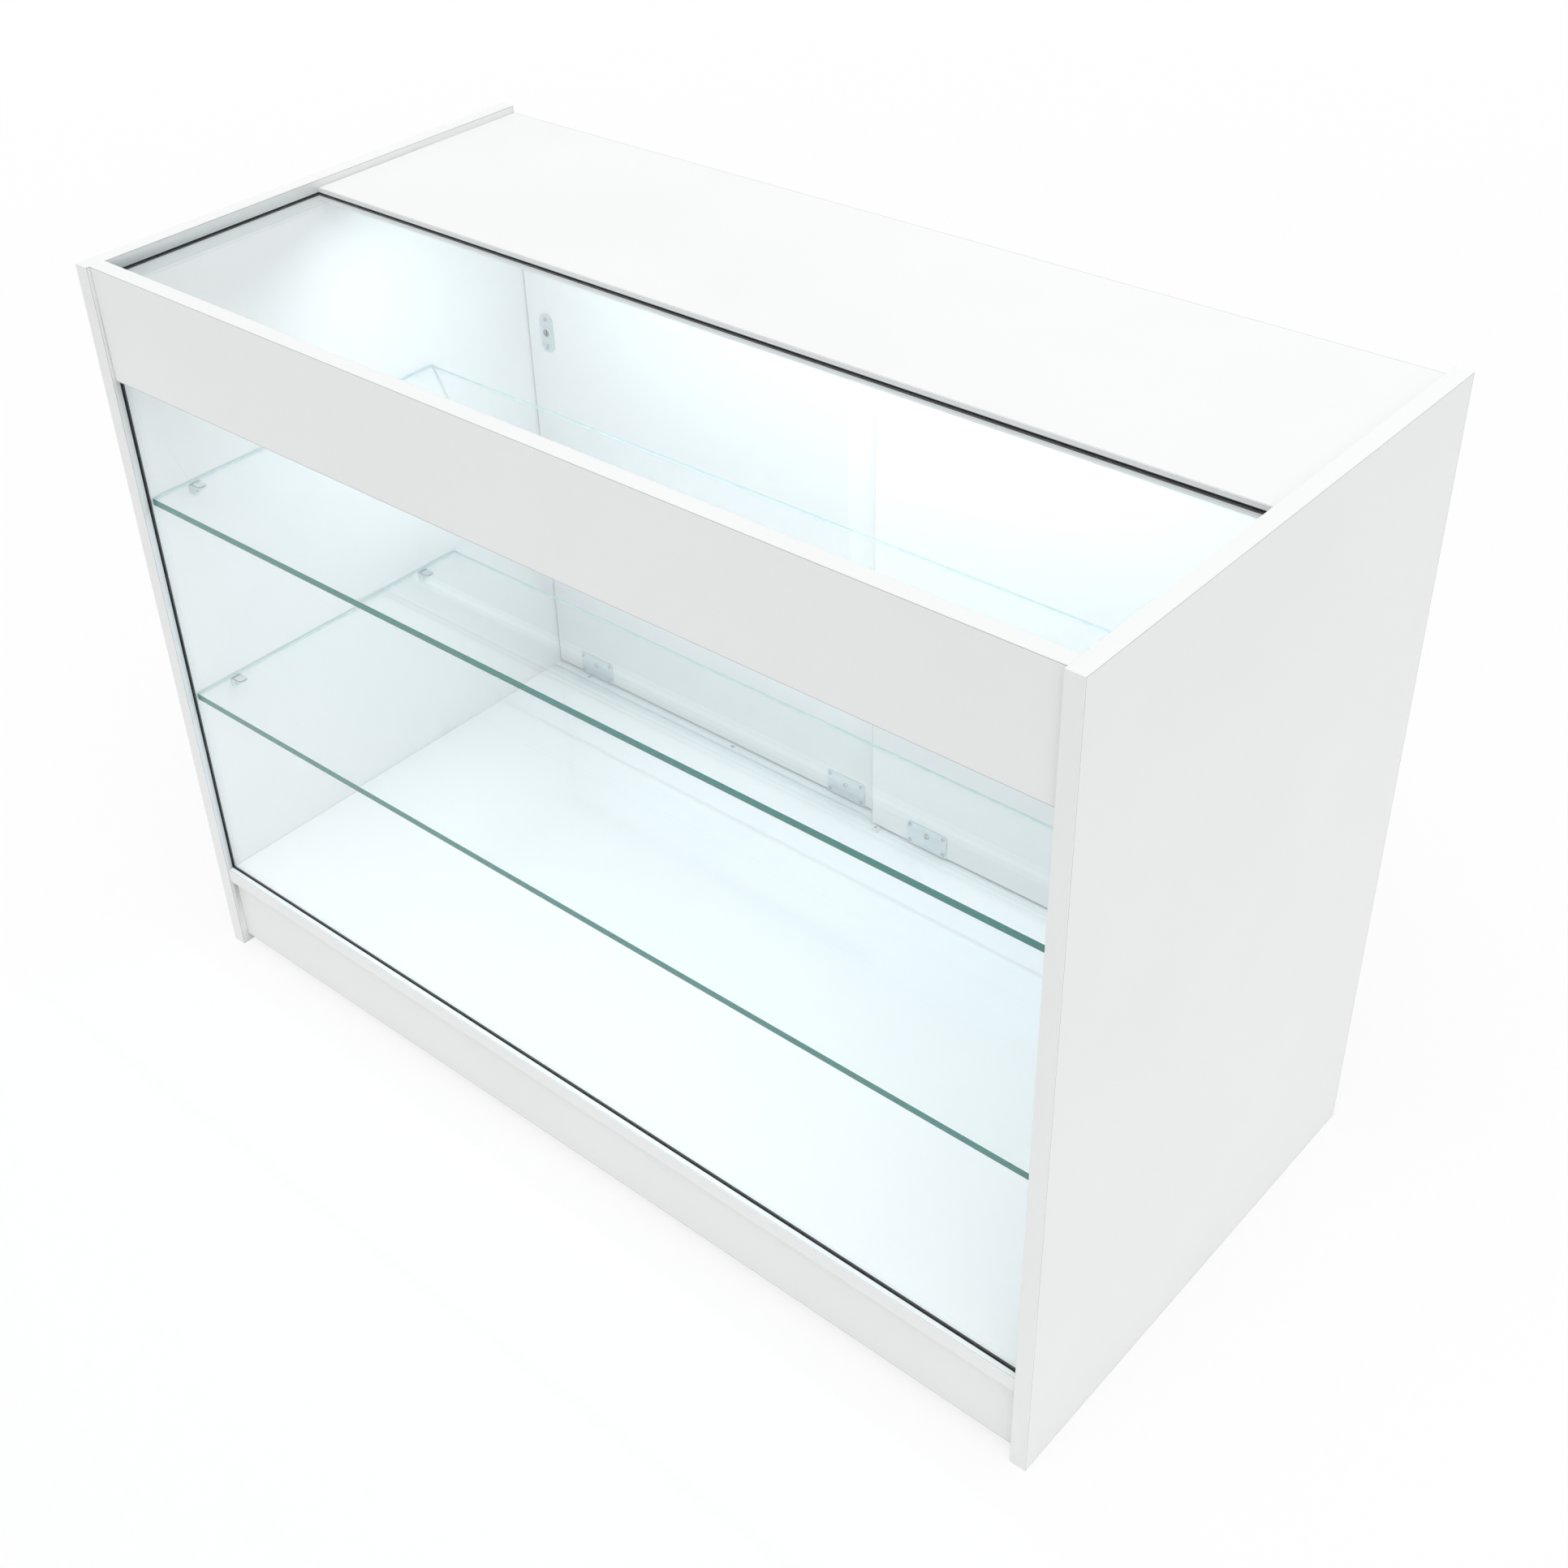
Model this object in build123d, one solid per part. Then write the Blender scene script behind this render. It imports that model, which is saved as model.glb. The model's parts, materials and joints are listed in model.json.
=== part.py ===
from build123d import *
import os

# A shop display counter: white boards, glass front, glass front half of the top,
# two glass shelves and a pair of sliding doors at the back.
# Millimetres. X runs along the counter, -Y is the customer's side, Z is up.
# The origin is on the floor, under the middle of the counter.

# Overall size
WIDTH = 1200.0
DEPTH = 590.0
HEIGHT = 895.0
BOARD = 18.0

# Base board and the plinths below it
BASE_UNDERSIDE = 100.0
BASE_SETBACK = 2.0
PLINTH_SETBACK = 9.0
PLINTH_LIFT = 12.0

# Fascia at the top of the front, and the board half of the top
FASCIA_HEIGHT = 125.0
FASCIA_SETBACK = 4.5
WORKTOP_DROP = 8.5
WORKTOP_DEPTH = 294.0

# Glass, and the black channels that hold its edges in the grooves
PANE = 6.0
GASKET = 1.0
GROOVE_DEPTH = 8.0
FRONT_PANE_SETBACK = 9.4
SHELF = 8.0
SHELF_DEPTH = 400.0
SHELF_END_GAP = 1.0
SHELF_FRONT_GAP = 2.6

# Shelf brackets
BRACKET_FROM_SHELF_FRONT = 54.0
BRACKET_SPACING = 291.0
BRACKET_WIDTH = 13.0
BRACKET_REACH = 18.0
BRACKET_DROP = 14.0
BRACKET_METAL = 2.0
BRACKET_SCREW_DROP = 7.5
PAD = 1.0
PAD_MARGIN = 1.5

# Sliding doors
DOOR = 12.0
DOOR_PITCH = 20.0
DOOR_OVERLAP = 40.0
DOOR_END_GAP = 1.0
DOOR_GAP_BELOW = 2.5
DOOR_GAP_ABOVE = 2.5

# Tracks
CHANNEL = 8.0
TRACK_END_GAP = 0.3
LOWER_TRACK_HEIGHT = 5.0
LOWER_TRACK_FLOOR = 1.5
TRACK_FRONT_LAND = 6.0
UPPER_TRACK_HEIGHT = 12.0
UPPER_TRACK_METAL = 2.0
TRACK_SCREWS = 5
TRACK_SCREW_MARGIN = 60.0

# Rollers in the doors' lower edges
WHEEL_DIAMETER = 18.0
WHEEL_WIDTH = 5.0
WHEEL_SEAT_GAP = 0.1
AXLE_DIAMETER = 3.0
RUNNING_CLEARANCE = 0.05
WHEEL_ROOM = 0.8
ROLLER_PLATE_WIDTH = 58.0
ROLLER_PLATE_HEIGHT = 32.0
ROLLER_PLATE = 1.5
ROLLER_BODY_WIDTH = 36.0
ROLLER_BODY_HEIGHT = 25.0
ROLLER_CHEEK = 1.2
ROLLER_SCREW_INSET = 4.5
ROLLER_ADJUSTER_HEIGHT = 20.0
ROLLER_FROM_CLOSING_EDGE = 73.0
LEFT_ROLLER_FROM_MEETING_EDGE = 96.0
RIGHT_ROLLER_FROM_MEETING_EDGE = 84.0
FIT = 0.1

# Guides in the doors' upper edges
GUIDE_INSET = 60.0
GUIDE_LENGTH = 24.0
GUIDE_THICKNESS = 6.0
GUIDE_DEPTH = 12.0
GUIDE_TOP_GAP = 2.5

# Hook locks in the doors' closing edges
LOCK_BACKSET = 33.5
LOCK_HEIGHT = 619.0
LOCK_PLATE_WIDTH = 22.0
LOCK_PLATE_HEIGHT = 51.0
LOCK_PLATE = 1.5
LOCK_BOSS_DIAMETER = 19.0
LOCK_BOSS = 0.8
LOCK_SCREW_SPACING = 36.0
LOCK_CASE_HEIGHT = 44.0
LOCK_CASE_THICKNESS = 8.0
LOCK_CASE_WALL = 1.0
LOCK_CASE_TAIL = 9.0
BARREL_DIAMETER = 10.0
BARREL_CAM_DIAMETER = 15.0
BARREL_CAM = 2.5
BARREL_SINK = 0.8
KEYWAY_WIDTH = 1.6
KEYWAY_LENGTH = 6.5
KEYWAY_DEPTH = 3.0
ESCUTCHEON_DIAMETER = 24.0
ESCUTCHEON = 1.5
HOOK_PIVOT_INSET = 9.0
HOOK_PIVOT_DROP = 8.0
HOOK_PIVOT_DIAMETER = 4.0
HOOK_REACH = 20.0
HOOK_WIDTH = 8.0
HOOK_THICKNESS = 3.0
HOOK_BEAK = 5.0
HOOK_BEAK_LENGTH = 5.0
HOOK_ROOM = 1.0
STRIKE_WIDTH = 10.0
STRIKE_HEIGHT = 60.0
STRIKE = 1.5
STRIKE_SLOT = 5.0
STRIKE_SCREW_SPACING = 48.0

# Finger pulls, let in flush with the doors' outer faces
PULL_DIAMETER = 40.0
PULL_DEPTH = 8.0
PULL_WALL = 1.0
PULL_RIM = 2.5
PULL_BACKSET = 60.0

# Guide block on the base, in front of the right door's meeting corner
BLOCK_LENGTH = 9.0
BLOCK_THICKNESS = 6.5
BLOCK_HEIGHT = 5.0
BLOCK_FROM_MEETING_EDGE = 11.4
BLOCK_CLEARANCE = 1.0

# Light bar under the board half of the top
LIGHT_END_GAP = 32.0
LIGHT_WIDTH = 17.0
LIGHT_HEIGHT = 9.0
LIGHT_METAL = 1.2
LIGHT_FROM_WORKTOP_FRONT = 24.0
LIGHT_STRIP_WIDTH = 10.0
LIGHT_STRIP = 1.2
LIGHT_STRIP_ADHESIVE = 0.1
DIFFUSER = 1.0
LIGHT_END_CAP = 2.0
LIGHT_CLIP = 0.8
LIGHT_CLIP_LENGTH = 15.0
LIGHT_CLIPS = 3
LIGHT_CLIP_MARGIN = 120.0
GLAND_DIAMETER = 7.5
GLAND_BORE = 5.0
GLAND_LENGTH = 8.0

# Knock-down fittings
CAM_DIAMETER = 15.0
CAM_DEPTH = 13.0
CAM_BACKSET = 34.0
CAM_SLOT = 7.4
BOLT_DIAMETER = 5.0
BOLT_HEAD_DIAMETER = 6.8
BOLT_HEAD = 3.0
BOLT_THREAD = 11.0
BOLT_PASSAGE = 8.0
DOWEL_DIAMETER = 8.0
DOWEL_LENGTH = 30.0
DOWEL_END_ROOM = 0.5
CAM_DRIVER_SLOT = 1.5
CAM_DRIVER_SHARE = 0.6
BASE_CAM_MARGIN = 95.0
WORKTOP_CAM_MARGIN = 52.0
FASCIA_CAM_DROP = 70.0
FASCIA_DOWEL_SPREAD = 22.5
PLINTH_DOWEL_SPREAD = 30.0

# Screws: diameter, length under the head
BRACKET_SCREW = (4.0, 13.0)
ROLLER_SCREW = (3.0, 7.0)
ADJUSTER_SCREW = (4.0, 6.0)
LOCK_SCREW = (3.0, 5.0)
STRIKE_SCREW = (3.0, 12.0)
TRACK_SCREW = (3.5, 12.0)
CLIP_SCREW = (3.0, 10.0)
BLOCK_SCREW = (2.5, 10.0)
HEAD_RATIO = 1.85
HEAD_HEIGHT_RATIO = 0.42
RECESS_WIDTH_RATIO = 0.28
RECESS_REACH = 0.6

# Places that follow from the sizes
INNER = WIDTH / 2 - BOARD
FRONT = -DEPTH / 2
BACK = DEPTH / 2
BASE_TOP = BASE_UNDERSIDE + BOARD
WORKTOP_TOP = HEIGHT - WORKTOP_DROP
WORKTOP_UNDERSIDE = WORKTOP_TOP - BOARD
WORKTOP_FRONT = BACK - WORKTOP_DEPTH
FASCIA_FRONT = FRONT + FASCIA_SETBACK
FASCIA_BACK = FASCIA_FRONT + BOARD
FASCIA_UNDERSIDE = HEIGHT - FASCIA_HEIGHT
BASE_FRONT = FRONT + BASE_SETBACK
PLINTH_FRONT = FRONT + PLINTH_SETBACK
PLINTH_BACK = PLINTH_FRONT + BOARD
PANE_INSET = GROOVE_DEPTH - GASKET
FRONT_PANE_FRONT = FRONT + FRONT_PANE_SETBACK
FRONT_PANE_BACK = FRONT_PANE_FRONT + PANE
TOP_PANE_UNDERSIDE = WORKTOP_UNDERSIDE + (BOARD - PANE) / 2
TOP_PANE_TOP = TOP_PANE_UNDERSIDE + PANE
COMPARTMENT = (TOP_PANE_UNDERSIDE - BASE_TOP - 2 * SHELF) / 3
LOWER_SHELF_UNDERSIDE = BASE_TOP + COMPARTMENT
UPPER_SHELF_UNDERSIDE = LOWER_SHELF_UNDERSIDE + SHELF + COMPARTMENT
SHELF_FRONT = FRONT_PANE_BACK + SHELF_FRONT_GAP
BRACKET_FRONT_Y = SHELF_FRONT + BRACKET_FROM_SHELF_FRONT
BRACKET_YS = (BRACKET_FRONT_Y, BRACKET_FRONT_Y + BRACKET_SPACING)
LEFT_DOOR_INNER = BACK - DOOR
RIGHT_DOOR_INNER = LEFT_DOOR_INNER - DOOR_PITCH
DOOR_CLOSING_EDGE = -INNER + DOOR_END_GAP
DOOR_LENGTH = INNER - DOOR_END_GAP + DOOR_OVERLAP / 2
DOOR_BOTTOM = BASE_TOP + DOOR_GAP_BELOW
UPPER_TRACK_UNDERSIDE = WORKTOP_UNDERSIDE - UPPER_TRACK_HEIGHT
DOOR_TOP = UPPER_TRACK_UNDERSIDE - DOOR_GAP_ABOVE
CHANNEL_FLOOR = BASE_TOP - LOWER_TRACK_HEIGHT + LOWER_TRACK_FLOOR
WHEEL_CENTRE = CHANNEL_FLOOR + WHEEL_SEAT_GAP + WHEEL_DIAMETER / 2
TRACK_FRONT = RIGHT_DOOR_INNER + (DOOR - CHANNEL) / 2 - TRACK_FRONT_LAND
LANE_CENTRES = (RIGHT_DOOR_INNER + DOOR / 2, LEFT_DOOR_INNER + DOOR / 2)
LOCK_X = DOOR_CLOSING_EDGE + LOCK_BACKSET
HOOK_PIVOT_X = DOOR_CLOSING_EDGE + HOOK_PIVOT_INSET
HOOK_PIVOT_Z = LOCK_HEIGHT - HOOK_PIVOT_DROP
HOOK_RADIUS = (HOOK_REACH**2 + (HOOK_WIDTH / 2 + HOOK_BEAK_LENGTH) ** 2) ** 0.5
STRIKE_POCKET = HOOK_RADIUS - HOOK_PIVOT_INSET - DOOR_END_GAP + HOOK_ROOM
PULL_HEIGHT = (DOOR_BOTTOM + DOOR_TOP) / 2
BLOCK_X = -DOOR_OVERLAP / 2 + BLOCK_FROM_MEETING_EDGE
LIGHT_END = INNER - LIGHT_END_GAP
LIGHT_FRONT = WORKTOP_FRONT + LIGHT_FROM_WORKTOP_FRONT
LIGHT_CENTRE = LIGHT_FRONT + LIGHT_WIDTH / 2
LIGHT_TOP = WORKTOP_UNDERSIDE - LIGHT_CLIP
LIGHT_UNDERSIDE = LIGHT_TOP - LIGHT_HEIGHT

LEFT = (-1, 0, 0)
RIGHT = (1, 0, 0)
FORWARD = (0, -1, 0)
BACKWARD = (0, 1, 0)
UP = (0, 0, 1)
DOWN = (0, 0, -1)


def block(x, y, z):
    """A box given as three (from, to) pairs."""
    centre = [(a + b) / 2 for a, b in (x, y, z)]
    return Pos(*centre) * Box(*[b - a for a, b in (x, y, z)])


def bar(point, direction, diameter, length):
    """A round bar that starts at a point and runs in a direction."""
    start = Plane(origin=point, z_dir=direction).location
    return start * Cylinder(diameter / 2, length, align=(Align.CENTER, Align.CENTER, Align.MIN))


def around(centre, width):
    """The (from, to) pair of a width about a centre."""
    return (centre - width / 2, centre + width / 2)


def mirrored(shape):
    return mirror(shape, about=Plane.YZ)


def both_sides(shapes):
    """The shapes on the left, and their mirror images on the right."""
    return list(shapes) + [mirrored(shape) for shape in shapes]


def group(shapes):
    return Compound(children=list(shapes))


def spread(count, half_length):
    """Evenly spaced places about zero."""
    return [half_length * (2 * i / (count - 1) - 1) for i in range(count)]


# Screws

def screw(point, direction, size):
    """A pan-head screw: the point is under the head, the direction is the way it is driven."""
    diameter, length = size
    head = HEAD_RATIO * diameter
    height = HEAD_HEIGHT_RATIO * diameter
    shank = Cylinder(diameter / 2, length, align=(Align.CENTER, Align.CENTER, Align.MIN))
    cap = Cylinder(head / 2, height, align=(Align.CENTER, Align.CENTER, Align.MAX))
    cap = chamfer(cap.edges().group_by(Axis.Z)[0], height / 3)
    recess = RECESS_WIDTH_RATIO * diameter
    arm = Box(RECESS_REACH * head, recess, height)
    cross = Pos(0, 0, -height) * (arm + Rot(0, 0, 90) * arm)
    return Plane(origin=point, z_dir=direction).location * (cap + shank - cross)


def screw_hole(point, direction, size, clearance=FIT):
    diameter, length = size
    return bar(point, direction, diameter + 2 * clearance, length + clearance)


# Knock-down joints between the side panels and the boards that end on them.
# Each board gives the places of its dowels and cams on its left end, and its hidden face.

def end_fittings():
    """For each board: the (y, z) of its dowels, of its cams, and the way to its hidden face."""
    base_z = BASE_UNDERSIDE + BOARD / 2
    base_reach = DEPTH / 2 - BASE_CAM_MARGIN
    worktop_z = WORKTOP_UNDERSIDE + BOARD / 2
    worktop_y = WORKTOP_FRONT + WORKTOP_DEPTH / 2
    worktop_reach = WORKTOP_DEPTH / 2 - WORKTOP_CAM_MARGIN
    fascia_y = FASCIA_FRONT + BOARD / 2
    fascia_z = HEIGHT - FASCIA_CAM_DROP
    plinth_y = PLINTH_FRONT + BOARD / 2
    plinth_z = (PLINTH_LIFT + BASE_UNDERSIDE) / 2
    plinth_dowels = [plinth_z + side * PLINTH_DOWEL_SPREAD for side in (-1, 1)]
    return {
        "base": (
            [(side * base_reach / 2, base_z) for side in (-1, 1)],
            [(side * base_reach, base_z) for side in (-1, 0, 1)],
            DOWN,
        ),
        "worktop": (
            [(worktop_y + side * worktop_reach / 2, worktop_z) for side in (-1, 1)],
            [(worktop_y + side * worktop_reach, worktop_z) for side in (-1, 1)],
            DOWN,
        ),
        "fascia": (
            [(fascia_y, fascia_z + side * FASCIA_DOWEL_SPREAD) for side in (-1, 1)],
            [(fascia_y, fascia_z)],
            BACKWARD,
        ),
        "front_plinth": ([(plinth_y, z) for z in plinth_dowels], [(plinth_y, plinth_z)], BACKWARD),
        "rear_plinth": ([(-plinth_y, z) for z in plinth_dowels], [(-plinth_y, plinth_z)], FORWARD),
    }


def dowel_hole(y, z):
    length = DOWEL_LENGTH + 2 * DOWEL_END_ROOM
    return bar((-INNER - length / 2, y, z), RIGHT, DOWEL_DIAMETER + 2 * FIT, length)


def dowel(y, z):
    body = bar((-INNER - DOWEL_LENGTH / 2, y, z), RIGHT, DOWEL_DIAMETER, DOWEL_LENGTH)
    return chamfer(body.edges().filter_by(GeomType.CIRCLE), DOWEL_DIAMETER / 8)


def cam_bore(y, z, hidden_face, diameter=CAM_DIAMETER + 2 * FIT):
    """The round recess from the board's hidden face, past the middle of its thickness."""
    offset = [BOARD / 2 * d for d in hidden_face]
    face = (-INNER + CAM_BACKSET + offset[0], y + offset[1], z + offset[2])
    inward = tuple(-d for d in hidden_face)
    return bar(face, inward, diameter, CAM_DEPTH)


def cam(y, z, hidden_face):
    """A cam disc, hollow where it grips the bolt's head, with a driver slot in its face."""
    disc = cam_bore(y, z, hidden_face, CAM_DIAMETER)
    centre_x = -INNER + CAM_BACKSET
    grip = block((centre_x - CAM_DIAMETER, centre_x + BOLT_HEAD), around(y, CAM_SLOT), around(z, CAM_SLOT))
    face = [BOARD / 2 * d for d in hidden_face]
    slot = block(
        around(centre_x, CAM_DIAMETER * CAM_DRIVER_SHARE),
        around(y + face[1], CAM_DRIVER_SLOT),
        around(z + face[2], CAM_DRIVER_SLOT),
    )
    return disc - grip - slot


def bolt_hole(y, z):
    """The bolt's passage in the board's end, and its threaded hole in the side panel."""
    passage = bar((-INNER, y, z), RIGHT, BOLT_PASSAGE, CAM_BACKSET)
    thread = bar((-INNER, y, z), LEFT, BOLT_DIAMETER + 2 * FIT, BOLT_THREAD + DOWEL_END_ROOM)
    return passage + thread


def cam_bolt(y, z):
    length = BOLT_THREAD + CAM_BACKSET
    body = bar((-INNER - BOLT_THREAD, y, z), RIGHT, BOLT_DIAMETER, length)
    head = bar((-INNER + CAM_BACKSET - BOLT_HEAD, y, z), RIGHT, BOLT_HEAD_DIAMETER, BOLT_HEAD)
    return body + head


def end_cuts(name):
    """Everything that a board and the side panels lose at the board's two ends."""
    dowels, cams, hidden_face = end_fittings()[name]
    cuts = [dowel_hole(y, z) for y, z in dowels]
    cuts += [bolt_hole(y, z) for y, z in cams]
    cuts += [cam_bore(y, z, hidden_face) for y, z in cams]
    return cuts


def knock_down_fittings():
    cams, bolts, dowels = [], [], []
    for places, cam_places, hidden_face in end_fittings().values():
        dowels += [dowel(y, z) for y, z in places]
        cams += [cam(y, z, hidden_face) for y, z in cam_places]
        bolts += [cam_bolt(y, z) for y, z in cam_places]
    return {
        "cam_discs": group(both_sides(cams)),
        "cam_bolts": group(both_sides(bolts)),
        "wood_dowels": group(both_sides(dowels)),
    }


# Panes, their channels and the grooves that hold them

def front_pane():
    return block(
        (-INNER - PANE_INSET, INNER + PANE_INSET),
        (FRONT_PANE_FRONT, FRONT_PANE_BACK),
        (BASE_TOP - PANE_INSET, FASCIA_UNDERSIDE + PANE_INSET),
    )


def top_pane():
    return block(
        (-INNER - PANE_INSET, INNER + PANE_INSET),
        (FASCIA_BACK - PANE_INSET, WORKTOP_FRONT + PANE_INSET),
        (TOP_PANE_UNDERSIDE, TOP_PANE_TOP),
    )


def front_grooves():
    """The grooves round the front pane: base, left, right, fascia."""
    y = (FRONT_PANE_FRONT - GASKET, FRONT_PANE_BACK + GASKET)
    z = (BASE_TOP - GROOVE_DEPTH, FASCIA_UNDERSIDE + GROOVE_DEPTH)
    return {
        "base": block((-INNER, INNER), y, (z[0], BASE_TOP)),
        "left": block((-INNER - GROOVE_DEPTH, -INNER), y, z),
        "right": block((INNER, INNER + GROOVE_DEPTH), y, z),
        "fascia": block((-INNER, INNER), y, (FASCIA_UNDERSIDE, z[1])),
    }


def top_grooves():
    """The grooves round the top pane: fascia, left, right, worktop."""
    y = (FASCIA_BACK - GROOVE_DEPTH, WORKTOP_FRONT + GROOVE_DEPTH)
    z = (TOP_PANE_UNDERSIDE - GASKET, TOP_PANE_TOP + GASKET)
    return {
        "fascia": block((-INNER, INNER), (y[0], FASCIA_BACK), z),
        "left": block((-INNER - GROOVE_DEPTH, -INNER), y, z),
        "right": block((INNER, INNER + GROOVE_DEPTH), y, z),
        "worktop": block((-INNER, INNER), (WORKTOP_FRONT, y[1]), z),
    }


def glazing():
    return {
        "front_glass": front_pane(),
        "top_glass": top_pane(),
        "front_glass_gaskets": group([g - front_pane() for g in front_grooves().values()]),
        "top_glass_gaskets": group([g - top_pane() for g in top_grooves().values()]),
    }


# Boards

def side_cuts(side):
    """What one side panel loses: -1 is the left panel, 1 the right one."""
    cuts = [cut for name in end_fittings() for cut in end_cuts(name)]
    cuts += [bracket_screw_hole(y, z) for y, z in bracket_places()]
    cuts += strike_cuts(LEFT_DOOR_INNER if side < 0 else RIGHT_DOOR_INNER)
    cuts += [front_grooves()["left"], top_grooves()["left"]]
    return cuts


def side_panel(side):
    panel = block((-WIDTH / 2, -INNER), (FRONT, BACK), (0, HEIGHT)) - side_cuts(side)
    return panel if side < 0 else mirrored(panel)


def base_panel():
    board = block((-INNER, INNER), (BASE_FRONT, BACK), (BASE_UNDERSIDE, BASE_TOP))
    rabbet = block((-INNER, INNER), (TRACK_FRONT, BACK), (BASE_TOP - LOWER_TRACK_HEIGHT, BASE_TOP))
    cuts = [front_grooves()["base"], rabbet]
    cuts += [screw_hole(p, DOWN, TRACK_SCREW) for p in lower_track_screw_places()]
    cuts += [screw_hole(guide_block_screw_place(), DOWN, BLOCK_SCREW)]
    return board - cuts - both_sides(end_cuts("base"))


def worktop():
    board = block((-INNER, INNER), (WORKTOP_FRONT, BACK), (WORKTOP_UNDERSIDE, WORKTOP_TOP))
    cuts = [top_grooves()["worktop"]]
    cuts += [screw_hole(p, UP, TRACK_SCREW) for p in upper_track_screw_places()]
    cuts += [screw_hole(p, UP, CLIP_SCREW) for p in clip_screw_places()]
    return board - cuts - both_sides(end_cuts("worktop"))


def front_fascia():
    board = block((-INNER, INNER), (FASCIA_FRONT, FASCIA_BACK), (FASCIA_UNDERSIDE, HEIGHT))
    grooves = [front_grooves()["fascia"], top_grooves()["fascia"]]
    return board - grooves - both_sides(end_cuts("fascia"))


def front_plinth():
    board = block((-INNER, INNER), (PLINTH_FRONT, PLINTH_BACK), (PLINTH_LIFT, BASE_UNDERSIDE))
    return board - both_sides(end_cuts("front_plinth"))


def boards():
    return {
        "left_side_panel": side_panel(-1),
        "right_side_panel": side_panel(1),
        "base_panel": base_panel(),
        "worktop": worktop(),
        "front_fascia": front_fascia(),
        "front_plinth": front_plinth(),
        "rear_plinth": mirror(front_plinth(), about=Plane.XZ),
    }


# Glass shelves on metal brackets

def glass_shelf(underside):
    reach = INNER - SHELF_END_GAP
    return block(
        (-reach, reach), (SHELF_FRONT, SHELF_FRONT + SHELF_DEPTH), (underside, underside + SHELF)
    )


def bracket_places():
    """The (y, z) of the top of each bracket's tongue, on one side panel."""
    undersides = (LOWER_SHELF_UNDERSIDE, UPPER_SHELF_UNDERSIDE)
    return [(y, underside - PAD) for underside in undersides for y in BRACKET_YS]


def bracket_screw_place(y, z):
    return (-INNER + BRACKET_METAL, y, z - BRACKET_SCREW_DROP)


def bracket_screw_hole(y, z):
    return screw_hole(bracket_screw_place(y, z), LEFT, BRACKET_SCREW)


def bracket(y, z):
    """A metal angle: a tongue under the shelf and a rounded flange screwed to the side panel."""
    tongue = block((-INNER, -INNER + BRACKET_REACH), around(y, BRACKET_WIDTH), (z - BRACKET_METAL, z))
    tip = tongue.edges().filter_by(Axis.Z).group_by(Axis.X)[-1]
    tongue = fillet(tip, BRACKET_WIDTH * 0.45)
    flange = block((-INNER, -INNER + BRACKET_METAL), around(y, BRACKET_WIDTH), (z - BRACKET_DROP, z))
    foot = flange.edges().filter_by(Axis.X).group_by(Axis.Z)[0]
    flange = fillet(foot, BRACKET_WIDTH * 0.45)
    return tongue + flange - bracket_screw_hole(y, z)


def pad(y, z):
    x = (-INNER + BRACKET_METAL + PAD_MARGIN, -INNER + BRACKET_REACH - PAD_MARGIN)
    body = block(x, around(y, BRACKET_WIDTH - 2 * PAD_MARGIN), (z, z + PAD))
    return fillet(body.edges().filter_by(Axis.Z), BRACKET_WIDTH / 4)


def shelves():
    places = bracket_places()
    screws = [screw(bracket_screw_place(y, z), LEFT, BRACKET_SCREW) for y, z in places]
    return {
        "lower_shelf": glass_shelf(LOWER_SHELF_UNDERSIDE),
        "upper_shelf": glass_shelf(UPPER_SHELF_UNDERSIDE),
        "shelf_brackets": group(both_sides([bracket(y, z) for y, z in places])),
        "shelf_pads": group(both_sides([pad(y, z) for y, z in places])),
        "shelf_bracket_screws": group(both_sides(screws)),
    }


# Tracks

def track_screw_xs():
    return spread(TRACK_SCREWS, INNER - TRACK_SCREW_MARGIN)


def track_screw_y():
    """Midway between the two lanes."""
    return sum(LANE_CENTRES) / 2


def lower_track_screw_places():
    """Under the heads, which sit in the bottom of a recess between the lanes."""
    return [(x, track_screw_y(), CHANNEL_FLOOR) for x in track_screw_xs()]


def upper_track_screw_places():
    return [(x, track_screw_y(), WORKTOP_UNDERSIDE - UPPER_TRACK_METAL) for x in track_screw_xs()]


def lower_track():
    """An extruded bar let in flush with the base, with one channel for each door's wheels."""
    reach = INNER - TRACK_END_GAP
    body = block((-reach, reach), (TRACK_FRONT, BACK), (BASE_TOP - LOWER_TRACK_HEIGHT, BASE_TOP))
    lanes = [block((-reach, reach), around(y, CHANNEL), (CHANNEL_FLOOR, BASE_TOP)) for y in LANE_CENTRES]
    head = HEAD_RATIO * TRACK_SCREW[0] + 2 * FIT
    heads = [bar(p, UP, head, LOWER_TRACK_HEIGHT) for p in lower_track_screw_places()]
    holes = [screw_hole(p, DOWN, TRACK_SCREW) for p in lower_track_screw_places()]
    return body - lanes - heads - holes


def upper_track():
    """A thin extruded bar under the worktop, with a downward channel over each door."""
    reach = INNER - TRACK_END_GAP
    z = (UPPER_TRACK_UNDERSIDE, WORKTOP_UNDERSIDE)
    front = LANE_CENTRES[0] - CHANNEL / 2 - UPPER_TRACK_METAL
    back = LANE_CENTRES[1] + CHANNEL / 2 + UPPER_TRACK_METAL
    web = block((-reach, reach), (front, back), (WORKTOP_UNDERSIDE - UPPER_TRACK_METAL, z[1]))
    walls = []
    for lane in LANE_CENTRES:
        for side in (-1, 1):
            y = lane + side * (CHANNEL + UPPER_TRACK_METAL) / 2
            walls.append(block((-reach, reach), around(y, UPPER_TRACK_METAL), z))
    return web + walls - [screw_hole(p, UP, TRACK_SCREW) for p in upper_track_screw_places()]


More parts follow.
